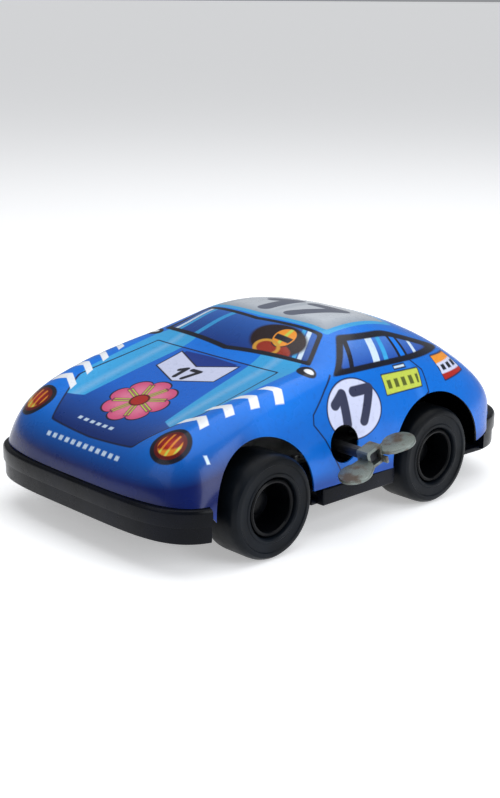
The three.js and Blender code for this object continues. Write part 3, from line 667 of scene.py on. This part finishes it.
# %% Control net, nose to tail, each row from the middle to the side hem
NET = [
    [(0, -24.6, 3.4), (9, -24.6, 3.4), (18, -24.2, 3.4), (26, -23, 3.4),
     (31.4, -20.6, 3.4), (33.8, -17.6, 3.0), (34.4, -15.2, 1.4), (34.5, -13.8, -0.5)],
    [(0, -24.2, 6.3), (9, -24.1, 6.3), (18, -23.7, 6.4), (26, -22.6, 6.6),
     (31.2, -19.8, 6.2), (34, -15.6, 4.6), (34.6, -12.8, 2), (34.6, -11.6, -0.6)],
    [(0, -22.8, 9.4), (9, -22.6, 9.6), (18, -22.2, 10.2), (25.2, -21.1, 11),
     (31, -17.6, 10.2), (34, -12.5, 7.2), (34.8, -10, 3.2), (34.8, -9, -0.6)],
    [(0, -19.5, 12.2), (8.5, -19.3, 12.4), (16.5, -19, 13.4), (23.8, -18.2, 15.2),
     (29.8, -14.6, 14.2), (33.4, -9.5, 9.8), (34.7, -7, 4.2), (34.8, -6, -0.6)],
    [(0, -13.5, 14.6), (9, -13.5, 14.7), (17, -13, 15.6), (24.2, -12.4, 18),
     (29.6, -8.8, 17), (33, -5, 11.8), (34.6, -3, 5.2), (34.8, -2, -0.6)],
    [(0, -5.5, 17.2), (10, -5.5, 17.3), (18.5, -5, 17.9), (25, -4, 20.6),
     (29.4, -1.5, 19), (32.8, 1, 13.2), (34.4, 2, 6.2), (34.7, 3, -0.6)],
    [(0, 3.5, 19.8), (11, 3.5, 19.9), (20, 4, 20.3), (25.8, 4.5, 22.2),
     (29.8, 6, 20.4), (32.8, 8, 14.2), (34.4, 9, 6.8), (34.7, 10, -0.6)],
    [(0, 12, 22), (11.5, 12.3, 22.1), (21, 13.5, 22.6), (26.8, 14.5, 23.8),
     (30.4, 16, 21.4), (33.2, 17, 14.8), (34.6, 17.5, 7), (35, 18, -0.8)],
    [(0, 17.8, 23.8), (11.5, 18.4, 23.8), (21.5, 20, 24), (27.2, 22, 24.6),
     (30.8, 23, 21.8), (33.5, 24, 15), (34.9, 24.5, 7.2), (35.2, 25, -0.8)],
    [(0, 23, 27.2), (11, 23.5, 27.2), (20.4, 25.8, 27.2), (26.2, 28.5, 26.4),
     (30.8, 29.5, 22.4), (33.8, 30, 15.4), (35.3, 31, 7.4), (35.4, 31.5, -0.8)],
    [(0, 28, 30.3), (10.5, 28.8, 30.3), (19.6, 31.2, 30), (24.9, 34, 27.3),
     (30.4, 35.5, 22.8), (34, 37, 15.6), (35.6, 37.5, 7.6), (35.6, 38, -0.8)],
    [(0, 35, 31.3), (10, 35.5, 31.3), (19.2, 37.2, 30.8), (24.4, 39.5, 27.6),
     (30.2, 41.5, 23), (34.2, 43, 16), (36.2, 43.5, 8), (36.2, 44, -0.8)],
    [(0, 42.5, 31.6), (10, 43, 31.6), (19, 44, 30.8), (24.4, 46, 27.4),
     (30.4, 47.5, 22.8), (34.8, 48.5, 16), (37.2, 49, 8.4), (37.4, 49.5, -0.6)],
    [(0, 50, 31), (10, 50.3, 30.9), (18.8, 51, 29.8), (24.6, 52.5, 26.1),
     (30.8, 53.5, 22), (35.4, 54, 15.8), (38, 54.5, 8.6), (38.2, 55, -0.2)],
    [(0, 58, 29), (10, 58, 28.8), (18.8, 58.4, 27.4), (25, 59.2, 24.2),
     (30.8, 59.6, 20.8), (35.4, 60, 15.4), (38, 60.5, 8.6), (38.2, 61, 0.4)],
    [(0, 66, 25.4), (10, 66, 25.2), (18.8, 66.2, 24.2), (25.2, 66.2, 22),
     (30.8, 66.2, 19), (35, 66.4, 14.2), (37.3, 66.6, 8.2), (37.6, 66.7, 1)],
    [(0, 74, 20.2), (10, 73.8, 20.1), (18.8, 73.4, 19.6), (25.2, 73, 18.2),
     (30.6, 72.6, 15.8), (34.2, 72, 12.2), (36, 71.2, 7.6), (36.4, 71.2, 1.6)],
    [(0, 81, 14.2), (10, 80.8, 14.2), (18.8, 79.9, 14), (25.2, 78.8, 13.2),
     (30.4, 77.2, 11.8), (33.4, 75.6, 9.6), (34.6, 74.2, 6.6), (35, 73.8, 2.2)],
    [(0, 85.2, 8.4), (10, 84.8, 8.4), (18.6, 83.6, 8.4), (25, 81.8, 8.2),
     (29.6, 79.6, 7.8), (32.2, 77.2, 7), (33.4, 75.4, 5.4), (33.9, 74.8, 3)],
    [(0, 86, 4.4), (10, 85.6, 4.4), (18.4, 84.4, 4.4), (24.8, 82.6, 4.4),
     (29.2, 80.4, 4.4), (31.8, 78.2, 4.4), (33, 76.4, 4.4), (33.6, 75.4, 4.2)],
]
TIN = 0.4
ALONG = 132
ACROSS = 52


def net_point(row, col):
    last = len(NET) - 1
    if row < 0:
        return 2 * net_point(0, col) - net_point(1, col)
    if row > last:
        return 2 * net_point(last, col) - net_point(last - 1, col)
    if col < 0:
        x, y, z = NET[row][-col]
        return Vector((-x, y, z))
    if col > 7:
        return 2 * Vector(NET[row][7]) - Vector(NET[row][6])
    return Vector(NET[row][col])


def weights(t):
    u = 1 - t
    return [u ** 3 / 6, (3 * t ** 3 - 6 * t * t + 4) / 6, (3 * u ** 3 - 6 * u * u + 4) / 6, t ** 3 / 6]


def body_point(u, w):
    """A point of the pressing: u counts rows from the nose, w runs from -7 to 7 across."""
    row, col = min(int(u), len(NET) - 2), min(int(abs(w)), 6)
    p = Vector((0, 0, 0))
    for i, a in enumerate(weights(u - row)):
        for j, b in enumerate(weights(abs(w) - col)):
            p += a * b * net_point(row - 1 + i, col - 1 + j)
    return Vector((-p.x if w < 0 else p.x, p.y, p.z))


def body_sheet():
    rows, cols = ALONG + 1, 2 * ACROSS + 1
    spread = len(NET) - 1
    grid = [[body_point(min(i / ALONG * spread, spread - 1e-6), (j / ACROSS - 1) * 6.9999)
             for j in range(cols)] for i in range(rows)]
    outer, inner = [], []
    for i in range(rows):
        for j in range(cols):
            du = grid[min(i + 1, rows - 1)][j] - grid[max(i - 1, 0)][j]
            dw = grid[i][min(j + 1, cols - 1)] - grid[i][max(j - 1, 0)]
            n = dw.cross(du).normalized()
            if n.dot(Vector((grid[i][j].x, 0, grid[i][j].z))) < 0:
                n = -n
            outer.append(grid[i][j])
            inner.append(grid[i][j] - n * TIN)
    half = rows * cols
    faces = []
    for i in range(rows - 1):
        for j in range(cols - 1):
            a, b = i * cols + j, (i + 1) * cols + j
            faces.append((a, a + 1, b + 1, b))
            faces.append((half + a, half + b, half + b + 1, half + a + 1))
    rim = [j for j in range(cols)] + [i * cols + cols - 1 for i in range(1, rows)]
    rim += [(rows - 1) * cols + j for j in range(cols - 2, -1, -1)]
    rim += [i * cols for i in range(rows - 2, 0, -1)]
    for a, b in zip(rim, rim[1:] + rim[:1]):
        faces.append((a, a + half, b + half, b))
    return make_piece("tin_body", outer + inner, faces)


def drum(radius, x0, x1, centre, sides=128):
    """A round bar along X."""
    turns = [2 * math.pi * j / sides for j in range(sides)]
    points = [(x, centre[0] + radius * math.cos(turn), centre[1] + radius * math.sin(turn))
              for x in (x0, x1) for turn in turns]
    faces = [(j, (j + 1) % sides, sides + (j + 1) % sides, sides + j) for j in range(sides)]
    faces += [tuple(range(sides)), tuple(range(2 * sides - 1, sides - 1, -1))]
    return make_piece("tool", points, faces)


# %% Press and punch the sheet
tin_body = body_sheet()
for reach in ((24, 46), (-46, -24)):
    cut(tin_body, drum(13.96, *reach, (-0.1, 0.45)))
    cut(tin_body, drum(13.93, *reach, (WHEELBASE, 1.24)))
cut(tin_body, drum(4.2, 28, 46, (23.5, 8.6), 64))
for low, high in (((-45, -40, -10), (45, -15.4, 3.5)), ((-45, 10, -10), (45, 44, 0.0)),
                  ((-45, 73.2, -10), (45, 100, 4.58))):
    cut(tin_body, block("trim", low, high, 0.01, 1))
dress(tin_body, "printed_tin", "chassis", "body_shell")
tin_body.data.materials.append(TIN_INSIDE)
print("body sheet:", len(tin_body.data.polygons), "faces")

# %% [markdown]
# The inside of the sheet is bare tinplate. A face belongs to the inside when its normal points
# back towards the middle of the car, so those faces take the second material.

# %% Bare inside, crisp cut edges and bent tabs
MIDDLE = world((0, 28, 2))
for face in tin_body.data.polygons:
    inward = face.normal.dot(face.center - MIDDLE) < 0
    face.material_index = 1 if inward else 0
    face.use_smooth = True
bm = bmesh.new()
bm.from_mesh(tin_body.data)
for edge in bm.edges:
    edge.smooth = len(edge.link_faces) < 2 or edge.calc_face_angle(0.0) < math.radians(40)
bm.to_mesh(tin_body.data)
bm.free()


def body_tab(side, y):
    strips = [((33.2, -3.95), (33.6, 0.5)), ((31.2, -3.95), (33.6, -3.55)), ((33.2, 0.2), (34.9, 0.6))]
    pieces = []
    for (x0, z0), (x1, z1) in strips:
        low, high = sorted((side * x0, side * x1))
        pieces.append(block("tab", (low, y - 1.4, z0), (high, y + 1.4, z1), 0.12, 2))
    return pieces


tabs = fused("body_tabs", [p for side in (1, -1) for y in (20.5, 35.5) for p in body_tab(side, y)])
dress(tabs, "printed_tin", "chassis")
tabs.data.materials[0] = TIN_INSIDE


# %% [markdown]
# ## The moulded base
# One black moulding makes the floor, the sills and both bumpers. A bumper is a band swept along
# a squared-off oval, with a step at half height and rounded edges, closed at its two ends.

# %% Bumpers, floor and sills
def bumper_curve(w, a, n, y, end, turn, inset, steps=120):
    W, A = w - inset, a - inset
    edge = W * (1 - (abs(end - y) / A) ** n) ** (1 / n)
    points = [(edge, end)]
    for i in range(1, steps):
        t = math.pi * i / steps
        py = y + turn * A * math.sin(t) ** (2 / n)
        px = W * math.copysign(abs(math.cos(t)) ** (2 / n), math.cos(t))
        if (py - end) * turn > 0.1:
            points.append((px, py))
    return points + [(-edge, end)]


def post(name, radius, x, y, z0, z1, sides=40):
    """An upright round bar."""
    ring = [(x + radius * math.cos(2 * math.pi * j / sides), y + radius * math.sin(2 * math.pi * j / sides))
            for j in range(sides)]
    return slab(name, ring, z0, z1, 0.01, 1)


def bumper(name, w, a, n, y, end, turn, z0, z1):
    """Sweeps a stepped, rounded section: pairs of (inset, height)."""
    mid = (z0 + z1) / 2
    section = [(0.75, z0), (0.5, z0 + 0.15), (0.4, z0 + 0.5), (0.4, mid - 0.15), (0.3, mid - 0.02),
               (0.08, mid), (0.0, mid + 0.2), (0.0, z1 - 0.9), (0.08, z1 - 0.5), (0.3, z1 - 0.2),
               (0.7, z1 - 0.03), (1.1, z1), (3.0, z1), (3.2, z1 - 0.2), (3.2, z0)]
    base = bumper_curve(w, a, n, y, end, turn, 0.0)
    count = len(base)
    points = []
    for inset, z in section:
        for k, (px, py) in enumerate(base):
            ahead, behind = base[min(k + 1, count - 1)], base[max(k - 1, 0)]
            tx, ty = ahead[0] - behind[0], ahead[1] - behind[1]
            size = math.hypot(tx, ty)
            nx, ny = (-ty / size, tx / size) if turn > 0 else (ty / size, -tx / size)
            if k in (0, count - 1):
                nx, ny = math.copysign(1.0, nx), 0.0
            points.append((px + nx * inset, py + ny * inset, z))
    faces = []
    rings = len(section)
    for i in range(rings):
        for k in range(count - 1):
            a0, b0 = i * count + k, ((i + 1) % rings) * count + k
            faces.append((a0, a0 + 1, b0 + 1, b0))
    faces.append([i * count for i in range(rings)])
    faces.append([i * count + count - 1 for i in range(rings - 1, -1, -1)])
    return make_piece(name, points, faces, 30.0)


FRONT = (36.4, 28.13, 4.64, 2.57, -15.7, -1)
REAR = (35.3, 25.0, 3.5, 63.0, 73.5, 1)
front_edge = bumper_curve(*FRONT, 1.5)
rear_edge = bumper_curve(*REAR, 1.5)[::-1]
left_edge = [(-23.5, -14), (-23.5, 13.5), (-33, 15), (-33, 38), (-23.5, 40.5), (-23.5, 66.5), (-33, 68)]
right_edge = [(-x, y) for x, y in left_edge][::-1]
parts = [bumper("front_bumper", *FRONT, -4.09, 3.4), bumper("rear_bumper", *REAR, -3.5, 4.5),
         slab("floor", front_edge + left_edge + rear_edge + right_edge, -4.09, -2.9)]
cut(parts[2], block("slot", (-6.2, 48.4, -6), (-1.0, 56.6, -2), 0.01, 1))
for side in (1, -1):
    low, high = sorted((side * 30.5, side * 35.1))
    sill = block("sill", (low, 16.5, -4.09), (high, 40.0, -0.1), 0.45, 4)
    for y in (20.5, 35.5):
        slot_low, slot_high = sorted((side * 32.9, side * 33.9))
        pocket_low, pocket_high = sorted((side * 30.9, side * 33.9))
        for target in (sill, parts[2]):
            cut(target, block("slot", (slot_low, y - 1.7, -6), (slot_high, y + 1.7, 1), 0.01, 1))
            cut(target, block("pocket", (pocket_low, y - 1.7, -6), (pocket_high, y + 1.7, -3.25), 0.01, 1))
    parts.append(sill)
    for y in (0, WHEELBASE):
        low, high = sorted((side * 20.6, side * 23.4))
        hanger = block("hanger", (low, y - 3.6, -3.4), (high, y + 3.6, 3.4), 0.3, 2)
        parts.append(cut(hanger, drum(2.6, low - 1, high + 1, (y, 0), 48)))
    boss = post("boss", 3.4, side * 14.2, 28.5, -3.5, -1.6)
    for target in (parts[2], boss):
        cut(target, post("hole", 1.3, side * 14.2, 28.5, -6, 0))
        cut(target, post("head", 2.3, side * 14.2, 28.5, -6, -2.9))
    parts.append(boss)
base = fused("moulded_base", parts)
dress(base, "base_black", "chassis", "base_tray")
print("base:", len(base.data.polygons), "faces")

# %% [markdown]
# ## Wheels and tyres
# Each wheel is a deep black dish with a closed boss that hides the end of the axle, and a
# separate tyre is pushed over it. Both are turned shapes. The tyre has rounded shoulders and a
# raised ring on its wall.

# %% Wheels and tyres
TYRE = [(6.6, 26.6), (6.8, 26.2), (7.2, 26.02), (8.6, 26.02), (10.0, 26.02), (10.7, 26.25), (11.15, 26.8),
        (11.4, 27.5), (11.48, 28.3), (11.48, 31.4), (11.48, 34.6), (11.4, 35.5), (11.15, 36.2), (10.7, 36.75),
        (10.1, 36.96), (9.7, 36.94), (9.5, 36.7), (9.2, 36.66), (8.0, 36.6), (7.7, 36.62), (7.5, 36.8),
        (7.1, 36.82), (6.8, 36.6), (6.6, 36.1)]
DISH = [(0, 31.4), (1.5, 31.4), (1.5, 25.6), (2.9, 25.6), (3.0, 25.8), (3.0, 27.0), (3.2, 27.2),
        (6.1, 27.2), (6.3, 27.4), (6.3, 35.8), (6.15, 36.2), (5.8, 36.38), (5.5, 36.3), (5.32, 36.0),
        (5.25, 34.0), (5.15, 29.6), (4.9, 29.2), (4.0, 29.1), (3.6, 28.8), (3.0, 28.8), (2.84, 29.0),
        (2.8, 31.3), (2.6, 31.9), (2.1, 32.17), (0, 32.2)]
for end, centre in AXLES.items():
    body = end + "_wheels"
    for hand, side in (("left", 1), ("right", -1)):
        tyre = turned("tyre_" + end + "_" + hand + "_fine", TYRE, centre, 112, side)
        dress(tyre, "tyre_black", body, "tyre_" + end + "_" + hand)
        dish = turned("wheel_" + end + "_" + hand + "_fine", DISH, centre, 80, side)
        dress(dish, "wheel_black", body, "wheel_" + end + "_" + hand)
print("wheels made:", 2 * len(AXLES))

# %% [markdown]
# ## The winding key
# The key is stamped from sheet steel. Two round wings are bent out of a folded square socket,
# which fits over the squared end of the winding arbor.

# %% Winding key
KEY_X, KEY_AT, TILT = 44.2, (23.4, 7.8), math.radians(17)


def wing_outline(side):
    r, reach = 3.73, 7.15
    points = [(40.8, 2.0), (KEY_X - 2.9, 3.2)]
    for i in range(33):
        t = math.pi * (1.2 - 1.4 * i / 32)
        points.append((KEY_X + r * math.cos(t), reach + r * math.sin(t)))
    points += [(KEY_X + 2.2, 3.4), (KEY_X + 0.9, 2.4), (43.8, 2.0)]
    return [(x, side * s) for x, s in points]


def square_tube(name, x0, x1, outer, inner):
    """A folded socket: X limits, then its width and height outside and inside."""
    rims = []
    for x, size in ((x0, outer), (x1, outer), (x1, inner), (x0, inner)):
        a, b, c = size[0] / 2, size[1] / 2, 0.35
        rims.append([(x, y, z) for y, z in ((a, b - c), (a - c, b), (c - a, b), (-a, b - c),
                                              (-a, c - b), (c - a, -b), (a - c, -b), (a, c - b))])
    points = [p for rim in rims for p in rim]
    return make_piece(name, points, ring_faces(4, 8, True))


key_parts = [slab("wing", wing_outline(1), -0.43, 0.43, 0.22, 3),
             slab("wing", wing_outline(-1), -0.43, 0.43, 0.22, 3),
             square_tube("socket", 40.62, 43.78, (4.8, 4.4), (3.2, 3.0)),
             block("lip", (43.4, 1.72, -2.18), (45.2, 2.4, -0.6), 0.2, 3)]
key = fused("winding_key_fine", key_parts)
pivot = Matrix.Translation(world((0, 0, 0)))
place = Matrix.Translation(world((0, *KEY_AT))) @ Matrix.Rotation(TILT, 4, "X") @ pivot.inverted()
key.data.transform(place)
dress(key, "key_steel", "winder", "winding_key")
print("key spans", [round(v * 1000, 1) for v in key.dimensions])

# %% [markdown]
# ## The clockwork
# The gears, arbors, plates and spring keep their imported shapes, which are already exact. Each
# takes the finish of its own metal from the record.

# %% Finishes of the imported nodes
shown = {"body_shell", "base_tray", "winding_key"}
for end in AXLES:
    for hand in ("left", "right"):
        shown |= {"tyre_" + end + "_" + hand, "wheel_" + end + "_" + hand}
for entry in frame["record"]["subparts"]:
    name, look = entry["node"], entry["material_slot"]
    if name in shown:
        continue
    node = frame["nodes"][name]
    for place_slot in node.material_slots:
        place_slot.link = "OBJECT"
        place_slot.material = LOOKS[look]
print("packed nodes shown:", len(frame["nodes"]) - len(shown))

# %% [markdown]
# ## Floor, light and camera
# White paper under a broad overhead light gives the soft highlights along the wings. The paper
# glows a little by itself, so that it stays pale far behind the toy. The camera stands off the
# left front corner, where the nose, the key and one side of the toy all show.

# %% Studio
def studio_floor():
    bpy.ops.mesh.primitive_plane_add(size=300.0, location=(0, 0, 0))
    floor = bpy.context.object
    floor.name = "paper"
    s = Shader("paper")
    s.feed(s.surface.inputs["Emission Color"], (1.0, 1.0, 1.0, 1.0))
    s.feed(s.surface.inputs["Emission Strength"], 0.38)
    floor.data.materials.append(s.set(color=rgb(246, 247, 249), rough=0.75, specular=0.2))


def soft_light(name, where, size, power, tint=(1, 1, 1)):
    lamp = bpy.data.lights.new(name, "AREA")
    lamp.shape = "RECTANGLE"
    lamp.size, lamp.size_y = size
    lamp.energy = power
    lamp.color = tint
    holder = bpy.data.objects.new(name, lamp)
    holder.location = where
    holder.rotation_euler = (Vector((0, 0, 0.02)) - Vector(where)).to_track_quat("-Z", "Y").to_euler()
    bpy.context.collection.objects.link(holder)


studio_floor()
soft_light("overhead", (0.02, 0.08, 0.6), (0.8, 0.8), 3.1)
soft_light("left_fill", (0.5, 0.05, 0.25), (0.35, 0.3), 1.3, (0.95, 0.97, 1))
soft_light("front_fill", (-0.1, -0.55, 0.35), (0.4, 0.3), 0.35)
sky = bpy.data.worlds.new("studio")
sky.use_nodes = True
sky.node_tree.nodes["Background"].inputs[0].default_value = (0.95, 0.97, 1.0, 1.0)
sky.node_tree.nodes["Background"].inputs[1].default_value = 0.3
bpy.context.scene.world = sky

# %% Camera at the left front corner
AZIMUTH, ELEVATION, ROLL = math.radians(46.815), math.radians(15.873), math.radians(0.3)
camera = bpy.data.objects.new("camera", bpy.data.cameras.new("camera"))
camera.data.sensor_fit = "VERTICAL"
camera.data.sensor_height = 36.0
camera.data.lens = 63.3
camera.location = (0.22865, -0.22336, 0.11354)
look = Vector((-math.sin(AZIMUTH) * math.cos(ELEVATION), math.cos(AZIMUTH) * math.cos(ELEVATION),
               -math.sin(ELEVATION)))
turn = look.to_track_quat("-Z", "Y").to_matrix().to_4x4() @ Matrix.Rotation(ROLL, 4, "Z")
camera.rotation_euler = turn.to_euler()
bpy.context.collection.objects.link(camera)
bpy.context.scene.camera = camera
bpy.context.scene.view_settings.view_transform = "Standard"
print("camera at", [round(v, 4) for v in camera.location])

# %% [markdown]
# ## Finish
# The fine surface is meant to fill the same box as the imported model.

# %% Finish
bpy.context.view_layer.update()
